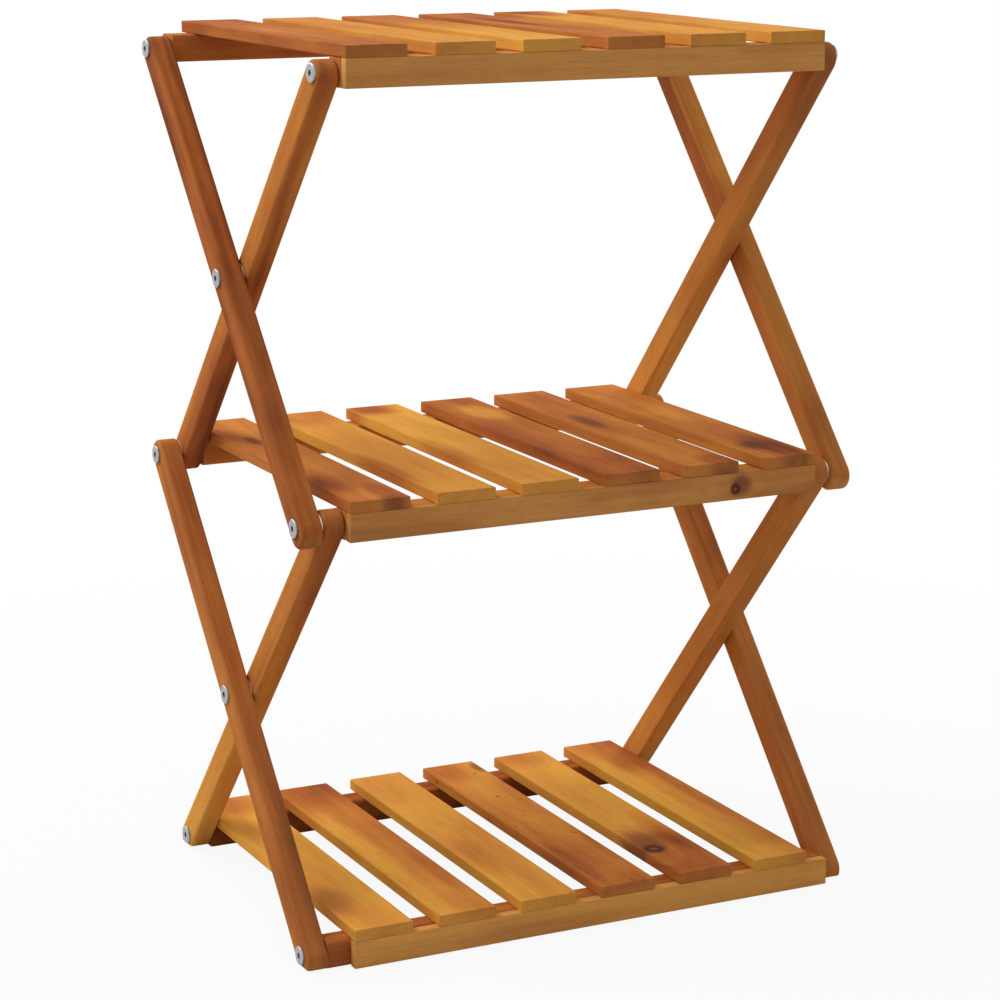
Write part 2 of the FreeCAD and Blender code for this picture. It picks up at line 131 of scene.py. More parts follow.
class ShelfStage(bpy.types.PropertyGroup):
    """Floor, lamps and camera."""

    floor: FloatVectorProperty(
        name="Floor", description="Colour of the floor",
        subtype="COLOR", size=3, min=0, max=1, default=(0.62, 0.62, 0.62),
    )
    camera_place: FloatVectorProperty(
        name="Camera place", description="Where the camera stands",
        subtype="TRANSLATION", unit="LENGTH", size=3, default=(-0.9355, -1.9043, 0.7647),
    )
    camera_yaw: FloatProperty(
        name="Camera turn", description="How far the camera looks to the right of straight back",
        subtype="ANGLE", default=math.radians(26.266),
    )
    camera_pitch: FloatProperty(
        name="Camera tilt", description="How far the camera looks down",
        subtype="ANGLE", default=math.radians(11.92),
    )
    lens: FloatProperty(
        name="Lens", description="Focal length on a 36 mm sensor",
        subtype="DISTANCE_CAMERA", min=10, max=500, default=104.1,
    )
    shift: FloatProperty(
        name="Shift", description="Upward shift of the lens",
        min=-1, max=1, default=-0.04,
    )
    key_power: FloatProperty(
        name="Key lamp", description="Power of the large lamp above, behind and to the left",
        subtype="POWER", unit="POWER", min=0, max=500, default=39.5,
    )
    back_power: FloatProperty(
        name="Back lamp", description="Power of the lamp behind, which shines in between the shelves",
        subtype="POWER", unit="POWER", min=0, max=500, default=18,
    )
    side_power: FloatProperty(
        name="Side lamp",
        description="Power of the lamp on the right, which fills the shade of the shelves",
        subtype="POWER", unit="POWER", min=0, max=500, default=13,
    )
    surround: FloatProperty(
        name="Surround", description="Strength of the soft light from all round",
        min=0, max=2, default=0.5,
    )


@dataclass(frozen=True)
class Board:
    """What tells one board from the next.

    tone runs from 0, all sapwood, to 1, all deep heartwood. across and along are how far it
    changes from one edge and end to the other; on a few legs they paint shade, darker towards
    the shaded face or end. figure is the strength of rings and streaks, clouds that of soft light
    and dark places, pale the share of the pale batten wood, and specks how dark the pin knots are.
    In mm from the board's middle, pith is where the middle of the log was (across, face), patches
    are (along, across, length, width, change of tone), smudges are (along, across, length, width,
    strength) and knots are (along, across, size). Most patches and smudges are marks in the wood;
    on middle_slat_1 and bottom_slat_1 the marks near the front of the left edge paint the shadow
    of the leg beside the slat.
    """

    tone: float
    pith: tuple
    across: float = 0.0
    along: float = 0.0
    figure: float = 0.12
    clouds: float = 0.28
    pale: float = 0.0
    patches: tuple = ()
    smudges_and_shadows: tuple = ()
    knots: tuple = ()
    specks: float = 0.0


# On a slat, along runs from the rear end to the front end and across from left to right.
SLATS = {
    "top_slat_1": Board(0.65, pith=(14, -48), patches=((-130, 0, 120, 60, 0.16),)),
    "top_slat_2": Board(0.35, along=-0.16, pith=(-16, -60)),
    "top_slat_3": Board(0.37, along=-0.6, pith=(10, -50)),
    "top_slat_4": Board(0.63, along=-0.1, pith=(-6, -44), patches=((-32, -4, 150, 20, 0.3),)),
    "top_slat_5": Board(0.19, pith=(18, -58), patches=((-135, -6, 110, 50, 0.6),)),
    "top_slat_6": Board(0.33, along=-0.26, pith=(-12, -66)),
    # Painted shadow: the second patch, near the front of the left edge, draws the soft shadow of the
    # leg beside the slat.
    "middle_slat_1": Board(
        0.56, pith=(-10, -42),
        patches=((132, 14, 60, 24, 0.25), (88, -14, 80, 30, 0.26)),
        smudges_and_shadows=((-68, -5, 34, 10, 0.8), (152, 10, 14, 20, 0.6)),
    ),
    "middle_slat_2": Board(
        0.23, pith=(16, -56),
        patches=((-140, 0, 90, 60, 0.3), (66, -19, 110, 16, 0.4)),
    ),
    "middle_slat_3": Board(
        0.12, along=0.2, pith=(-14, -52),
        patches=((-142, -8, 60, 44, 0.7), (34, -19, 110, 16, 0.36), (110, -10, 90, 20, 0.16)),
    ),
    "middle_slat_4": Board(
        0.7, along=0.1, pith=(8, -46),
        patches=((-88, 4, 70, 32, -0.36), (-142, -8, 60, 44, 0.16)),
        specks=0.5,
    ),
    "middle_slat_5": Board(
        0.54, pith=(-6, -40),
        patches=((146, 12, 50, 30, 0.34), (-110, 6, 90, 40, 0.14), (60, -8, 90, 20, -0.16)),
        smudges_and_shadows=((-22, -6, 66, 18, 0.75),),
    ),
    "middle_slat_6": Board(
        0.5, along=0.1, pith=(12, -48),
        patches=((118, 6, 120, 36, 0.34), (-30, 0, 90, 24, -0.18)),
        smudges_and_shadows=((110, -4, 36, 22, 0.85), (126, 13, 70, 8, 0.6)),
    ),
    # Painted shadow: the patch and the smudge near the front of the left edge draw the soft shadow of
    # the leg beside the slat.
    "bottom_slat_1": Board(
        0.06, pith=(-18, -58),
        patches=((-138, -4, 70, 48, 0.5), (92, -14, 90, 30, 0.26), (135, 4, 80, 60, 0.2)),
        smudges_and_shadows=((92, -12, 60, 34, 0.3),),
    ),
    "bottom_slat_2": Board(
        0.38, across=0.3, along=-0.3, pith=(12, -50),
        patches=((-145, 0, 110, 70, 0.24), (-10, -13, 170, 22, -0.36), (64, 14, 110, 16, 0.2)),
    ),
    "bottom_slat_3": Board(
        0.12, along=0.1, pith=(-10, -62),
        patches=((-125, 0, 120, 70, 0.22), (52, -8, 100, 26, 0.26), (110, 6, 80, 14, 0.14)),
    ),
    "bottom_slat_4": Board(
        0.46, along=0.24, pith=(6, -44),
        patches=((-140, -10, 70, 34, 0.28), (92, -16, 120, 18, 0.26), (30, 0, 120, 50, -0.12)),
        smudges_and_shadows=((-137, 19, 26, 10, 0.7),),
        specks=0.7,
    ),
    "bottom_slat_5": Board(
        0.08, pith=(-8, -42),
        patches=((-152, 0, 70, 70, 0.3), (62, 15, 100, 26, 0.26), (124, -2, 140, 120, 0.62)),
        smudges_and_shadows=((82, -11, 46, 30, 0.6),),
        knots=((99, -13, 16),),
    ),
    "bottom_slat_6": Board(
        0.17, across=0.4, pith=(16, -54),
        patches=((-128, 4, 140, 80, 0.44), (0, 16, 200, 20, 0.3), (-30, -14, 170, 16, -0.3)),
    ),
}
# On a batten or bar, along runs from left to right and across runs upward.
BATTENS = {
    "top_front_batten": Board(0.34, figure=0.2, clouds=0.4, pale=0.75, pith=(4, -40)),
    "middle_front_batten": Board(
        0.62, figure=0.24, clouds=0.46, pale=0.7, pith=(-4, -36),
        smudges_and_shadows=((122, 1, 17, 16, 0.7),),
        knots=((117, -2, 8),),
    ),
    "bottom_front_batten": Board(
        0.14, figure=0.3, clouds=0.46, pale=0.6, pith=(3, -30),
        patches=((-40, -4, 160, 14, 0.34),),
    ),
}
BARS = {
    "top_front_bar": Board(0.5, pith=(5, -30)),
    "top_rear_bar": Board(0.6, pith=(-5, -34)),
    "middle_front_bar": Board(0.4, pith=(4, -32)),
    "middle_rear_bar": Board(0.6, pith=(-4, -30)),
    "bottom_front_bar": Board(0.66, pith=(5, -28)),
    "bottom_rear_bar": Board(0.78, pith=(-5, -32)),
}
# On a leg, along runs from the foot up and across from the rear edge to the front edge.
LEG_FIGURE = 0.16
LEGS = {
    "upper_outer_leg_left": Board(0.79, along=0.14, figure=LEG_FIGURE, pith=(6, -36)),
    # Painted shade: across=0.2 draws the leg darker towards its front edge, for the shade on its
    # lower front face.
    "upper_inner_leg_left": Board(0.6, across=0.2, along=-0.16, figure=LEG_FIGURE, pith=(-6, -34)),
    "lower_outer_leg_left": Board(
        0.6, across=0.06, figure=LEG_FIGURE, pale=0.12, pith=(5, -38),
        patches=((-110, 0, 190, 60, 0.18), (145, 0, 110, 60, 0.14)),
    ),
    # Painted shade: across=0.2 draws the leg darker towards its front edge, for the shade on its
    # lower front face.
    "lower_inner_leg_left": Board(0.4, across=0.2, along=0.62, figure=LEG_FIGURE, pith=(-5, -36)),
    # Partly painted shade: along=0.56 draws the leg darker towards its top, where the top shelf
    # shades it, besides the wood's own tone. The first patch is a painted highlight: it keeps the
    # front edge lighter near the top, where that edge is lit.
    "upper_outer_leg_right": Board(
        0.62, along=0.56, figure=LEG_FIGURE, pale=0.2, pith=(7, -34),
        patches=((120, 11, 170, 12, -0.34), (-185, 11, 120, 16, 0.3)),
    ),
    # Painted shade: along=0.7 draws the leg darker towards its top, where the top shelf shades it.
    "upper_inner_leg_right": Board(
        0.48, across=-0.06, along=0.7, figure=LEG_FIGURE, pale=0.2, pith=(-7, -38),
    ),
    "lower_outer_leg_right": Board(
        0.57, figure=LEG_FIGURE, pale=0.22, pith=(6, -34),
        patches=((-120, 0, 180, 60, 0.16), (150, 0, 120, 60, 0.12)),
    ),
    "lower_inner_leg_right": Board(
        0.49, across=0.04, along=0.34, figure=LEG_FIGURE, pale=0.12, pith=(-6, -36),
    ),
}
# A leg's width over its thickness.
LEG_WIDTH_RATIO = 22 / 16
# Keeps the seeds of slats, battens, bars and legs apart.
SEED_STEP = 20

NOISE_MIDDLE = 0.5
BAND_DETAIL = 2.0


class Graph:
    """Adds nodes to one material or world and joins them up."""

    def __init__(self, owner):
        owner.use_nodes = True
        self.tree = owner.node_tree
        self.tree.nodes.clear()

    def node(self, kind, **settings):
        made = self.tree.nodes.new(kind)
        for name, value in settings.items():
            setattr(made, name, value)
        return made

    def feed(self, socket, value):
        """Joins a socket to an input, or sets a plain value on it."""
        if isinstance(value, bpy.types.NodeSocket):
            self.tree.links.new(value, socket)
        else:
            socket.default_value = value

    def math(self, operation, *values):
        made = self.node("ShaderNodeMath", operation=operation)
        for socket, value in zip(made.inputs, values):
            self.feed(socket, value)
        return made.outputs[0]

    def total(self, first, *others):
        """The sum of its values, added from first to last."""
        for other in others:
            first = self.math("ADD", first, other)
        return first

    def vector(self, operation, *values):
        made = self.node("ShaderNodeVectorMath", operation=operation)
        for socket, value in zip(made.inputs, values):
            self.feed(socket, value)
        gives_number = operation in {"LENGTH", "DOT_PRODUCT"}
        return made.outputs["Value" if gives_number else "Vector"]

    def noise(self, place, scale=1.0, detail=3.0, roughness=0.5):
        made = self.node("ShaderNodeTexNoise", noise_dimensions="3D")
        self.feed(made.inputs["Vector"], place)
        self.feed(made.inputs["Scale"], scale)
        self.feed(made.inputs["Detail"], detail)
        self.feed(made.inputs["Roughness"], roughness)
        return made.outputs["Fac"]

    def bands(self, value):
        """Irregular bands along one number."""
        made = self.node("ShaderNodeTexNoise", noise_dimensions="1D")
        self.feed(made.inputs["W"], value)
        self.feed(made.inputs["Scale"], 1.0)
        self.feed(made.inputs["Detail"], BAND_DETAIL)
        return made.outputs["Fac"]

    def swing(self, value, size):
        """A noise value turned into a change of up to about half of size, either way."""
        return self.math("MULTIPLY", self.math("SUBTRACT", value, NOISE_MIDDLE), size)

    def smooth(self, value, low, high, start=0.0, end=1.0):
        """Goes softly from start, at low, to end, at high. low may be the larger of the two."""
        made = self.node("ShaderNodeMapRange", interpolation_type="SMOOTHSTEP")
        for socket, given in zip(made.inputs, (value, low, high, start, end)):
            self.feed(socket, given)
        return made.outputs[0]

    def mix(self, share, first, second, blend="MIX"):
        made = self.node("ShaderNodeMix", data_type="RGBA", blend_type=blend)
        self.feed(made.inputs["Factor"], share)
        self.feed(made.inputs["A"], first)
        self.feed(made.inputs["B"], second)
        return made.outputs["Result"]

    def ramp(self, value, stops):
        made = self.node("ShaderNodeValToRGB")
        self.feed(made.inputs["Fac"], value)
        elements = made.color_ramp.elements
        while len(elements) < len(stops):
            elements.new(0.5)
        for element, (place, colour) in zip(elements, stops):
            element.position = place
            element.color = colour
        return made.outputs["Color"]

    def relief(self, height, strength, depth):
        """Normal of a surface that rises by depth where height rises by 1, as far as strength."""
        made = self.node("ShaderNodeBump")
        made.inputs["Strength"].default_value = strength
        made.inputs["Distance"].default_value = depth
        self.feed(made.inputs["Height"], height)
        return made.outputs["Normal"]

    def surface(self, colour, roughness, normal):
        """Ends the material in a surface, and returns its node for plain values."""
        made = self.node("ShaderNodeBsdfPrincipled")
        self.feed(made.inputs["Base Color"], colour)
        self.feed(made.inputs["Roughness"], roughness)
        self.feed(made.inputs["Normal"], normal)
        output = self.node("ShaderNodeOutputMaterial")
        self.feed(output.inputs["Surface"], made.outputs["BSDF"])
        return made


def solid(colour):
    return (*colour, 1.0)


# Noise cells to the metre along, across and through a board.
WANDER_CELLS = (5.0, 16.0, 16.0)
CLOUD_CELLS = (9.0, 32.0, 32.0)
MOTTLE_CELLS = (34.0, 95.0, 95.0)
STREAK_CELLS = (5.0, 130.0, 130.0)
FIBRE_CELLS = (14.0, 520.0, 520.0)
PORE_CELLS = (75.0, 1700.0, 1700.0)
SPECK_CELLS = (130.0, 210.0, 210.0)
# How far apart in the noise two boards with neighbouring seeds are cut.
BOARDS_APART = (3.7, 1.9, 2.3)
RINGS_APART = 7.31
THIN_RINGS_APART = 3.17
# Thin rings to each growth ring.
THIN_RINGS = 5
# How far the grain wanders sideways, and how the log tapers, which differs between four boards.
WANDER = 14 * MM
TAPER = 0.02
TAPER_STEP = 0.006
TAPER_BOARDS = 4
# Where the rings bend round a knot, in sizes of the knot, and how fast that dies away.
BEND_LENGTH = 6
BEND_WIDTH = 2.2
BEND_FALL = -1.2
# What each kind of figure does to the tone. The first four are times a board's figure or clouds.
RING_CHANGE = 2.2
STREAK_CHANGE = 2.0
CLOUD_CHANGE = 2.0
MOTTLE_CHANGE = 0.7
THIN_RING_CHANGE = 0.1
END_GRAIN_CHANGE = 0.06
# How ragged the outlines of patches, smudges, painted leg shadows and knots are.
RAGGED_CLOUDS = 0.9
RAGGED_MOTTLE = 0.5
SMUDGE_AND_SHADOW_RAGGED = 0.6
KNOT_RAGGED = 0.5
# Where a patch, smudge, painted leg shadow, halo or heart begins and where it is full. 1 is the rim
# of its ellipse.
PATCH_FADE = (1.25, 0.35)
SMUDGE_AND_SHADOW_FADE = (1.3, 0.4)
HALO_FADE = (1.6, 0.9)
KNOT_HEART_FADE = (0.45, 0.1)
# How strong the parts of a knot are, where its dark ring lies, and how it fades beside that.
HALO_STRENGTH = 0.7
KNOT_RING_STRENGTH = 0.75
KNOT_HEART_STRENGTH = 0.45
KNOT_RING_PLACE = 0.7
KNOT_RING_FADE = (0.4, 0.1)
# Tones at which the wood is all sapwood, amber, heartwood and deep heartwood.
WOOD_STOPS = (0.0, 0.4, 0.72, 1.0)
# What tone does to the pale wood, and what the fibres do to any wood.
PALE_SHADES = ((0.1, (1.12, 1.12, 1.1, 1.0)), (0.8, (0.74, 0.68, 0.66, 1.0)))
FIBRE_SHADES = ((0.25, (0.91, 0.89, 0.87, 1.0)), (0.75, (1.06, 1.06, 1.06, 1.0)))
# End grain starts where a surface turns this far to a board's end.
END_GRAIN_FADE = (0.6, 1.0)
END_GRAIN_PALENESS = 0.17
# Noise at which a pore or a pin knot begins and is full.
PORE_FADE = (0.6, 0.72)
SPECK_FADE = (0.77, 0.85)
PORE_DARKNESS = 0.2
# How near to an edge the painted edge shade begins and is full, and which clouds bring it out.
EDGE_FADE = (1.8 * MM, 0.2 * MM)
EDGE_CLOUDS = (0.35, 0.65)
PAINTED_EDGE_SHADE = 0.08
# Height of the fibres beside the depth of a pore, and how far both are felt.
FIBRE_HEIGHT = 0.5
GRAIN_RELIEF = 0.35
# Roughness above the satin's own where no fibre is, and what fibres and pores add to it.
SATIN_RISE = 0.08
FIBRE_ROUGHNESS = -0.16
PORE_ROUGHNESS = 0.15
# The oil has next to no gloss.
OIL_GLOSS = 0.012


class Acacia(Graph):
    """Oiled acacia whose rings, fibres, knots and patches run through one whole board.

    Its places are in metres along, across and through the board, from the board's middle.
    """

    def __init__(self, name, board, wood, axes, middle, girth, seed):
        self.material = bpy.data.materials.new(name)
        super().__init__(self.material)
        self.board = board
        self.wood = wood
        self.girth = girth
        self.seed = seed
        self.apart = Vector([seed * step for step in BOARDS_APART])
        place = self.node("ShaderNodeTexCoord")
        to_board = self.node("ShaderNodeMapping", vector_type="POINT")
        self.feed(to_board.inputs["Vector"], place.outputs["Object"])
        to_board.inputs["Rotation"].default_value = axes.to_euler("XYZ")
        to_board.inputs["Location"].default_value = -(axes @ middle)
        self.point = to_board.outputs["Vector"]
        parts = self.node("ShaderNodeSeparateXYZ")
        self.feed(parts.inputs["Vector"], self.point)
        self.along, self.across, self.face = parts.outputs
        to_end = self.vector("DOT_PRODUCT", place.outputs["Normal"], tuple(axes[0]))
        self.end_grain = self.smooth(self.math("ABSOLUTE", to_end), *END_GRAIN_FADE)
        self.cloud = self.grain(CLOUD_CELLS, detail=2.0)
        self.mottle = self.grain(MOTTLE_CELLS)
        ragged_clouds = self.swing(self.cloud, RAGGED_CLOUDS)
        self.ragged = self.total(ragged_clouds, self.swing(self.mottle, RAGGED_MOTTLE))
        self.fibre = self.grain(FIBRE_CELLS, detail=4.0, roughness=0.6)
        self.pore = self.smooth(self.grain(PORE_CELLS, detail=1.0), *PORE_FADE)
        self.radius = self.ring_radius()
        height = self.math("SUBTRACT", self.math("MULTIPLY", self.fibre, FIBRE_HEIGHT), self.pore)
        normal = self.relief(height, GRAIN_RELIEF, wood.pore_depth)
        surface = self.surface(self.colour(), self.roughness(), normal)
        surface.inputs["Specular IOR Level"].default_value = OIL_GLOSS

    def grain(self, cells, detail=3.0, roughness=0.5):
        """Noise drawn out along the board, and different on each board."""
        place = self.vector("MULTIPLY_ADD", self.point, cells, self.apart)
        return self.noise(place, detail=detail, roughness=roughness)

    def ellipse(self, along, across, length, width):
        """Distance from a spot on the board, where 1 is the rim of an ellipse. All four in mm."""
        offset = self.vector("SUBTRACT", self.point, (along * MM, across * MM, 0.0))
        span = (2 / (length * MM), 2 / (width * MM), 0.0)
        return self.vector("LENGTH", self.vector("MULTIPLY", offset, span))

    def ring_radius(self):
        """Distance from the pith. The grain wanders on its way along and bends round knots."""
        pith_across, pith_face = (value * MM for value in self.board.pith)
        from_pith = self.node("ShaderNodeCombineXYZ")
        self.feed(from_pith.inputs["Y"], self.math("SUBTRACT", self.across, pith_across))
        self.feed(from_pith.inputs["Z"], self.math("SUBTRACT", self.face, pith_face))
        straight = self.vector("LENGTH", from_pith.outputs["Vector"])
        taper = TAPER + TAPER_STEP * (self.seed % TAPER_BOARDS)
        radius = self.total(
            straight,
            self.swing(self.grain(WANDER_CELLS), WANDER),
            self.math("MULTIPLY", self.along, taper),
        )
        for along, across, size in self.board.knots:
            reach = self.ellipse(along, across, BEND_LENGTH * size, BEND_WIDTH * size)
            fall = self.math("MULTIPLY", self.math("MULTIPLY", reach, reach), BEND_FALL)
            bend = self.math("EXPONENT", fall)
            radius = self.total(radius, self.math("MULTIPLY", bend, size * MM))
        return radius

    def rings(self, number, apart):
        """Bands round the pith, number of them to each growth ring."""
        spacing = self.wood.ring_spacing
        return self.bands(self.math("MULTIPLY_ADD", self.radius, number / spacing, self.seed * apart))

    def tone(self):
        """How far from sapwood to deep heartwood each place of the board is."""
        board = self.board
        tone = self.total(
            board.tone,
            self.math("MULTIPLY", self.along, board.along / self.girth[0]),
            self.math("MULTIPLY", self.across, board.across / self.girth[1]),
            self.swing(self.rings(1, RINGS_APART), RING_CHANGE * board.figure),
            self.swing(self.cloud, CLOUD_CHANGE * board.clouds),
            self.swing(self.mottle, MOTTLE_CHANGE * board.clouds),
            self.swing(self.rings(THIN_RINGS, THIN_RINGS_APART), THIN_RING_CHANGE),
            self.swing(self.grain(STREAK_CELLS, detail=2.0), STREAK_CHANGE * board.figure),
        )
        for *spot, change in board.patches:
            reach = self.total(self.ellipse(*spot), self.ragged)
            tone = self.total(tone, self.math("MULTIPLY", self.smooth(reach, *PATCH_FADE), change))
        # End grain drinks more oil and dries darker.
        return self.total(tone, self.math("MULTIPLY", self.end_grain, END_GRAIN_CHANGE))

    def colour(self):
        """The wood's colour, then its pores, pin knots, smudges and painted leg shadows, knots and
        painted edge shade over it.
        """
        board = self.board
        wood = self.wood
        colour = self.plain_wood(self.tone())
        colour = self.mix(1.0, colour, self.ramp(self.fibre, FIBRE_SHADES), "MULTIPLY")
        deep = solid(wood.deep_heartwood)
        colour = self.mix(self.math("MULTIPLY", self.pore, PORE_DARKNESS), colour, deep)
        if board.specks:
            speck = self.grain(SPECK_CELLS, detail=0.0)
            colour = self.mix(self.smooth(speck, *SPECK_FADE, 0.0, board.specks), colour, deep)
        # Dark smudges in the wood, and on bottom_slat_1 painted shadow: the soft shadow of the leg
        # beside it, drawn into the colour.
        for *spot, strength in board.smudges_and_shadows:
            rag = self.math("MULTIPLY", self.ragged, SMUDGE_AND_SHADOW_RAGGED)
            reach = self.total(self.ellipse(*spot), rag)
            share = self.smooth(reach, *SMUDGE_AND_SHADOW_FADE, 0.0, strength)
            colour = self.mix(share, colour, solid(wood.knot_halo_and_shadow))
        for knot in board.knots:
            colour = self.with_knot(colour, *knot)
        # Painted shade: every edge of the board is drawn a little darker, here more and there less,
        # as a thin dark line where faces meet.
        edge_shade = self.smooth(self.cloud, *EDGE_CLOUDS, 0.0, PAINTED_EDGE_SHADE)
        return self.mix(self.math("MULTIPLY", self.near_edge(), edge_shade), colour, deep)

    def plain_wood(self, tone):
        """The colour that goes with a tone, with pale wood in some boards and on end grain."""
        wood = self.wood
        colours = (wood.sapwood, wood.amber, wood.heartwood, wood.deep_heartwood)
        stops = [(place, solid(colour)) for place, colour in zip(WOOD_STOPS, colours)]
        colour = self.ramp(tone, stops)
        if self.board.pale:
            washed = self.mix(1.0, solid(wood.tan), self.ramp(tone, PALE_SHADES), "MULTIPLY")
            colour = self.mix(self.board.pale, colour, washed)
        paleness = self.math("MULTIPLY", self.end_grain, END_GRAIN_PALENESS)
        return self.mix(paleness, colour, solid(wood.tan))

    def with_knot(self, colour, along, across, size):
        """A colour with one knot in it: a halo, a dark ring and a dry heart."""
        wood = self.wood
        round_knot = self.ellipse(along, across, size, size)
        reach = self.total(round_knot, self.swing(self.mottle, KNOT_RAGGED))
        halo = self.smooth(reach, *HALO_FADE, 0.0, HALO_STRENGTH)
        colour = self.mix(halo, colour, solid(wood.knot_halo_and_shadow))
        off_ring = self.math("ABSOLUTE", self.math("SUBTRACT", reach, KNOT_RING_PLACE))
        ring = self.smooth(off_ring, *KNOT_RING_FADE, 0.0, KNOT_RING_STRENGTH)
        colour = self.mix(ring, colour, solid(wood.knot))
        heart = self.smooth(reach, *KNOT_HEART_FADE, 0.0, KNOT_HEART_STRENGTH)
        return self.mix(heart, colour, solid(wood.knot_heart))

    def near_edge(self):
        """1 on the edges of the board and 0 from about 2 mm away from them."""
        room = []
        for part, full in zip((self.along, self.across, self.face), self.girth):
            room.append(self.math("SUBTRACT", full / 2, self.math("ABSOLUTE", part)))
        least = self.math("MINIMUM", room[1], room[2])
        most = self.math("MAXIMUM", room[1], room[2])
        # On the surface one of the three is nothing, so the middle one is the distance to an edge.
        distance = self.math("MAXIMUM", least, self.math("MINIMUM", most, room[0]))
        return self.smooth(distance, *EDGE_FADE)

    def roughness(self):
        """Satin oil, smoother on the hard fibres and rougher in the pores."""
        satin = self.wood.satin + SATIN_RISE
        rough = self.math("MULTIPLY_ADD", self.fibre, FIBRE_ROUGHNESS, satin)
        return self.total(rough, self.math("MULTIPLY", self.pore, PORE_ROUGHNESS))


# Noise cells to the metre, all round for blotches and on each axis for scratches.
BLOTCH_CELLS = 380.0
BOLT_SCRATCHES = (900.0, 4000.0, 4000.0)
WASHER_SCRATCHES = (900.0, 2500.0, 2500.0)
FIXING_SCRATCHES = (2500.0, 900.0, 900.0)
BLOTCH_SHADES = ((0.3, (0.72, 0.72, 0.73, 1.0)), (0.7, WHITE))
# Roughness where no blotch is, beside the polish, and what a blotch adds to it.
POLISH_DROP = 0.06
BLOTCH_ROUGHNESS = 0.25
SCRATCH_RELIEF = 0.2
SCRATCH_DEPTH = 0.05 * MM
# How much rougher than the bolts the other pieces are.
WASHER_DULLNESS = 0.16
FIXING_DULLNESS = 0.12


def plated_metal(name, metal, polish, scratches):
    """Plated metal with soft blotches and fine scratches."""
    material = bpy.data.materials.new(name)
    graph = Graph(material)
    place = graph.node("ShaderNodeTexCoord").outputs["Object"]
    blotch = graph.noise(place, scale=BLOTCH_CELLS)
    colour = graph.mix(1.0, solid(metal), graph.ramp(blotch, BLOTCH_SHADES), "MULTIPLY")
    rough = graph.math("MULTIPLY_ADD", blotch, BLOTCH_ROUGHNESS, polish - POLISH_DROP)
    scratch = graph.noise(graph.vector("MULTIPLY", place, scratches), detail=2.0)
    normal = graph.relief(scratch, SCRATCH_RELIEF, SCRATCH_DEPTH)
    surface = graph.surface(colour, rough, normal)
    surface.inputs["Metallic"].default_value = 1.0
    return material


def wear(node, material):
    """Puts one material on a piece of the frame, in place of what it came with."""
    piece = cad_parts.get(node)
    if piece is None:
        raise RuntimeError(f"the frame has no piece named {node}")
    piece.data.materials.clear()
    piece.data.materials.append(material)


def board_axes(along, across):
    """Rotation from the row frame to a board's own along, across and face directions."""
    along = Vector(along).normalized()
    across = Vector(across).normalized()
    return Matrix((along, across, along.cross(across)))


def straight_lie(node, along, across):
    """Axes and length, width and thickness of a board that lies along the axes of the frame."""
    axes = board_axes(along, across)
    low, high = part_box(node)
    return axes, tuple(abs(side) for side in axes @ (high - low))


def slat_lie(node):
    """Slats run from the rear to the front."""
    return straight_lie(node, (0, -1, 0), (1, 0, 0))


def rail_lie(node):
    """Battens and bars run from left to right."""
    return straight_lie(node, (1, 0, 0), (0, 0, 1))


def leg_lie(node):
    """Outer legs lean back on their way up and inner legs lean forward."""
    low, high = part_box("upper_outer_leg_left")
    width = (high.x - low.x) * LEG_WIDTH_RATIO
    run = high.y - low.y - width
    rise = high.z - low.z - width
    lean = run if "outer" in node else -run
    along = Vector((0, lean, rise)).normalized()
    axes = board_axes(along, Vector((1, 0, 0)).cross(along))
    low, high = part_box(node)
    thickness = high.x - low.x
    return axes, ((high - low).length, thickness * LEG_WIDTH_RATIO, thickness)


def finish_boards(context, boards, lie_of):
    wood = context.scene.shelf_wood
    for number, (node, board) in enumerate(boards.items(), start=1):
        axes, girth = lie_of(node)
        low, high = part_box(node)
        middle = (low + high) / 2
        seed = number + SEED_STEP * len(boards)
        wear(node, Acacia(f"acacia_{node}", board, wood, axes, middle, girth, seed).material)


class SHELF_OT_finish_slats(bpy.types.Operator):
    """Oiled acacia on the eighteen shelf slats, each from its own board"""

    bl_idname = "shelf.finish_slats"
    bl_label = "Slats"

    def execute(self, context):
        finish_boards(context, SLATS, slat_lie)
        return {"FINISHED"}


class SHELF_OT_finish_battens(bpy.types.Operator):
    """Paler acacia on the front battens"""

    bl_idname = "shelf.finish_battens"
    bl_label = "Battens"

    def execute(self, context):
        finish_boards(context, BATTENS, rail_lie)
        return {"FINISHED"}


class SHELF_OT_finish_bars(bpy.types.Operator):
    """Oiled acacia on the cross bars"""

    bl_idname = "shelf.finish_bars"
    bl_label = "Cross bars"

    def execute(self, context):
        finish_boards(context, BARS, rail_lie)
        return {"FINISHED"}


class SHELF_OT_finish_legs(bpy.types.Operator):
    """Oiled acacia on the eight legs, with the grain along each leg"""

    bl_idname = "shelf.finish_legs"
    bl_label = "Legs"

    def execute(self, context):
        finish_boards(context, LEGS, leg_lie)
        return {"FINISHED"}


class SHELF_OT_finish_hardware(bpy.types.Operator):
    """Zinc on the pivot bolts and washers, and steel on the inserts and screws"""

    bl_idname = "shelf.finish_hardware"
    bl_label = "Bolts, washers and fixings"

    def execute(self, context):
        hardware = context.scene.shelf_hardware
        polish = hardware.polish
        bolt = plated_metal("zinc_bolt", hardware.zinc, polish, BOLT_SCRATCHES)
        washer = plated_metal(
            "zinc_washer", hardware.bright_zinc, polish + WASHER_DULLNESS, WASHER_SCRATCHES)
        steel = plated_metal(
            "steel_fixing", hardware.steel, polish + FIXING_DULLNESS, FIXING_SCRATCHES)
        finishes = {"_bolts": bolt, "_washers": washer, "_inserts": steel, "_screws": steel}
        for ending, material in finishes.items():
            pieces = [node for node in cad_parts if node.endswith(ending)]
            if not pieces:
                raise RuntimeError(f"the frame has no piece whose name ends in {ending}")
            for node in pieces:
                wear(node, material)
        return {"FINISHED"}


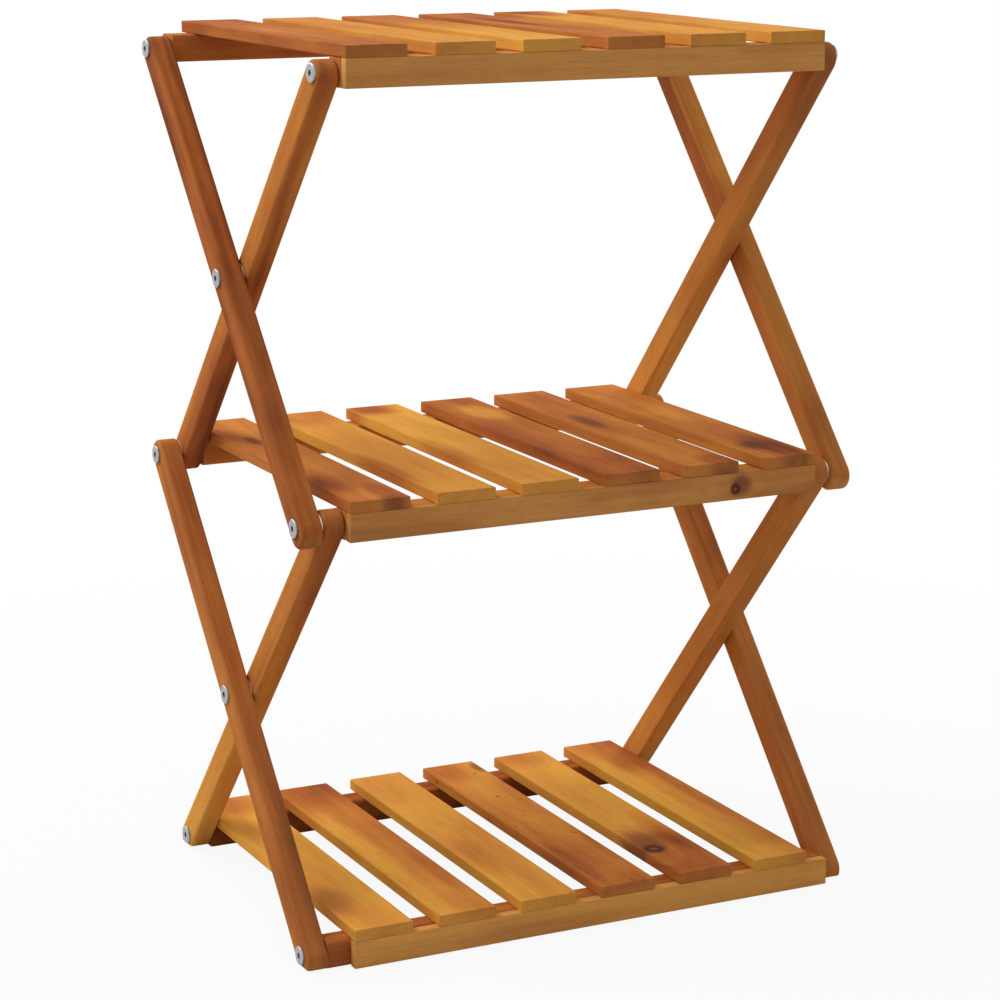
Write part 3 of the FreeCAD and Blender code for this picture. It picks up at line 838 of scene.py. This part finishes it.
FLOOR_REACH = 8.0
# The floor lies this far under the shelf, so that no two faces are in one plane.
FLOOR_DROP = 0.5 * MM
# Distances at which the floor's shadow starts to fade and is gone, and the white it starts from.
SHADOW_FADE = (0.35, 1.3)
SHADOW_WHITE = 0.92
SENSOR_WIDTH = 36.0
VIEW_END = 100.0


def add_lamp(name, place, target, size, power):
    """A square lamp that faces its target."""
    data = bpy.data.lights.new(name, "AREA")
    data.shape = "RECTANGLE"
    data.size = size
    data.size_y = size
    data.energy = power
    lamp = bpy.data.objects.new(name, data)
    lamp.location = place
    lamp.rotation_euler = (Vector(target) - Vector(place)).to_track_quat("-Z", "Y").to_euler()
    bpy.context.scene.collection.objects.link(lamp)


def white_to_eye(graph):
    """1 for camera, mirror and glass rays, 0 for the rays that light the object."""
    path = graph.node("ShaderNodeLightPath")
    seen = graph.math("MAXIMUM", path.outputs["Is Camera Ray"], path.outputs["Is Glossy Ray"])
    return graph.math("MAXIMUM", seen, path.outputs["Is Transmission Ray"])


class SHELF_OT_set_stage(bpy.types.Operator):
    """Pale floor, white surround, soft lamps and the camera"""

    bl_idname = "shelf.set_stage"
    bl_label = "Stage"

    def execute(self, context):
        stage = context.scene.shelf_stage
        scene = context.scene
        self.lay_floor(scene, stage)
        self.set_surround(scene, stage)
        add_lamp(
            "key_lamp", place=(-1.5, 0.8, 2.5), target=(0, 0, 0.3), size=1.5, power=stage.key_power)
        add_lamp(
            "back_lamp", place=(-0.9, 2.2, 1.4), target=(0, 0, 0.2), size=1.2, power=stage.back_power)
        add_lamp(
            "side_lamp", place=(1.9, 0.6, 1.2), target=(0, 0, 0.1), size=1.2, power=stage.side_power)
        self.set_camera(scene, stage)
        scene.view_settings.view_transform = "Standard"
        return {"FINISHED"}

    def lay_floor(self, scene, stage):
        reach = FLOOR_REACH
        mesh = bpy.data.meshes.new("floor")
        corners = [(-reach, -reach, 0), (reach, -reach, 0), (reach, reach, 0), (-reach, reach, 0)]
        mesh.from_pydata(corners, [], [(0, 1, 2, 3)])
        floor = bpy.data.objects.new("floor", mesh)
        floor.location.z = -FLOOR_DROP
        scene.collection.objects.link(floor)
        material = bpy.data.materials.new("pale_floor")
        graph = Graph(material)
        matt = graph.node("ShaderNodeBsdfDiffuse")
        matt.inputs["Color"].default_value = solid(stage.floor)
        glow = graph.node("ShaderNodeEmission")
        glow.inputs["Strength"].default_value = 1.0
        blend = graph.node("ShaderNodeMixShader")
        # Near the shelf the floor shows its shadow, and further off it goes over to plain white.
        place = graph.node("ShaderNodeTexCoord").outputs["Object"]
        far = graph.smooth(graph.vector("LENGTH", place), *SHADOW_FADE, SHADOW_WHITE, 1.0)
        graph.feed(blend.inputs["Fac"], graph.math("MULTIPLY", white_to_eye(graph), far))
        graph.feed(blend.inputs[1], matt.outputs["BSDF"])
        graph.feed(blend.inputs[2], glow.outputs["Emission"])
        output = graph.node("ShaderNodeOutputMaterial")
        graph.feed(output.inputs["Surface"], blend.outputs["Shader"])
        mesh.materials.append(material)

    def set_surround(self, scene, stage):
        world = bpy.data.worlds.new("surround")
        scene.world = world
        graph = Graph(world)
        light = graph.node("ShaderNodeBackground")
        light.inputs["Color"].default_value = WHITE
        strength = graph.smooth(white_to_eye(graph), 0.0, 1.0, stage.surround, 1.0)
        graph.feed(light.inputs["Strength"], strength)
        output = graph.node("ShaderNodeOutputWorld")
        graph.feed(output.inputs["Surface"], light.outputs["Background"])

    def set_camera(self, scene, stage):
        data = bpy.data.cameras.new("camera")
        data.sensor_width = SENSOR_WIDTH
        data.lens = stage.lens
        data.shift_y = stage.shift
        data.clip_end = VIEW_END
        camera = bpy.data.objects.new("camera", data)
        camera.location = stage.camera_place
        camera.rotation_euler = (math.pi / 2 - stage.camera_pitch, 0.0, -stage.camera_yaw)
        scene.collection.objects.link(camera)
        scene.camera = camera


OPERATORS = (
    SHELF_OT_finish_slats,
    SHELF_OT_finish_battens,
    SHELF_OT_finish_bars,
    SHELF_OT_finish_legs,
    SHELF_OT_finish_hardware,
    SHELF_OT_set_stage,
)


class SHELF_PT_sidebar(bpy.types.Panel):
    """The steps that finish the shelf, in order"""

    bl_idname = "SHELF_PT_sidebar"
    bl_label = "Folding shelf"
    bl_space_type = "VIEW_3D"
    bl_region_type = "UI"
    bl_category = "Shelf"

    def draw(self, context):
        for operator in OPERATORS:
            self.layout.operator(operator.bl_idname)
        scene = context.scene
        for group in (scene.shelf_wood, scene.shelf_hardware, scene.shelf_stage):
            for name in group.__annotations__:
                self.layout.prop(group, name)


CLASSES = (ShelfWood, ShelfHardware, ShelfStage, *OPERATORS, SHELF_PT_sidebar)


def register():
    for item in CLASSES:
        bpy.utils.register_class(item)
    bpy.types.Scene.shelf_wood = PointerProperty(type=ShelfWood)
    bpy.types.Scene.shelf_hardware = PointerProperty(type=ShelfHardware)
    bpy.types.Scene.shelf_stage = PointerProperty(type=ShelfStage)


def unregister():
    del bpy.types.Scene.shelf_stage
    del bpy.types.Scene.shelf_hardware
    del bpy.types.Scene.shelf_wood
    for item in reversed(CLASSES):
        bpy.utils.unregister_class(item)


def main():
    register()
    bpy.ops.shelf.finish_slats()
    bpy.ops.shelf.finish_battens()
    bpy.ops.shelf.finish_bars()
    bpy.ops.shelf.finish_legs()
    bpy.ops.shelf.finish_hardware()
    bpy.ops.shelf.set_stage()


if __name__ == "__main__":
    main()
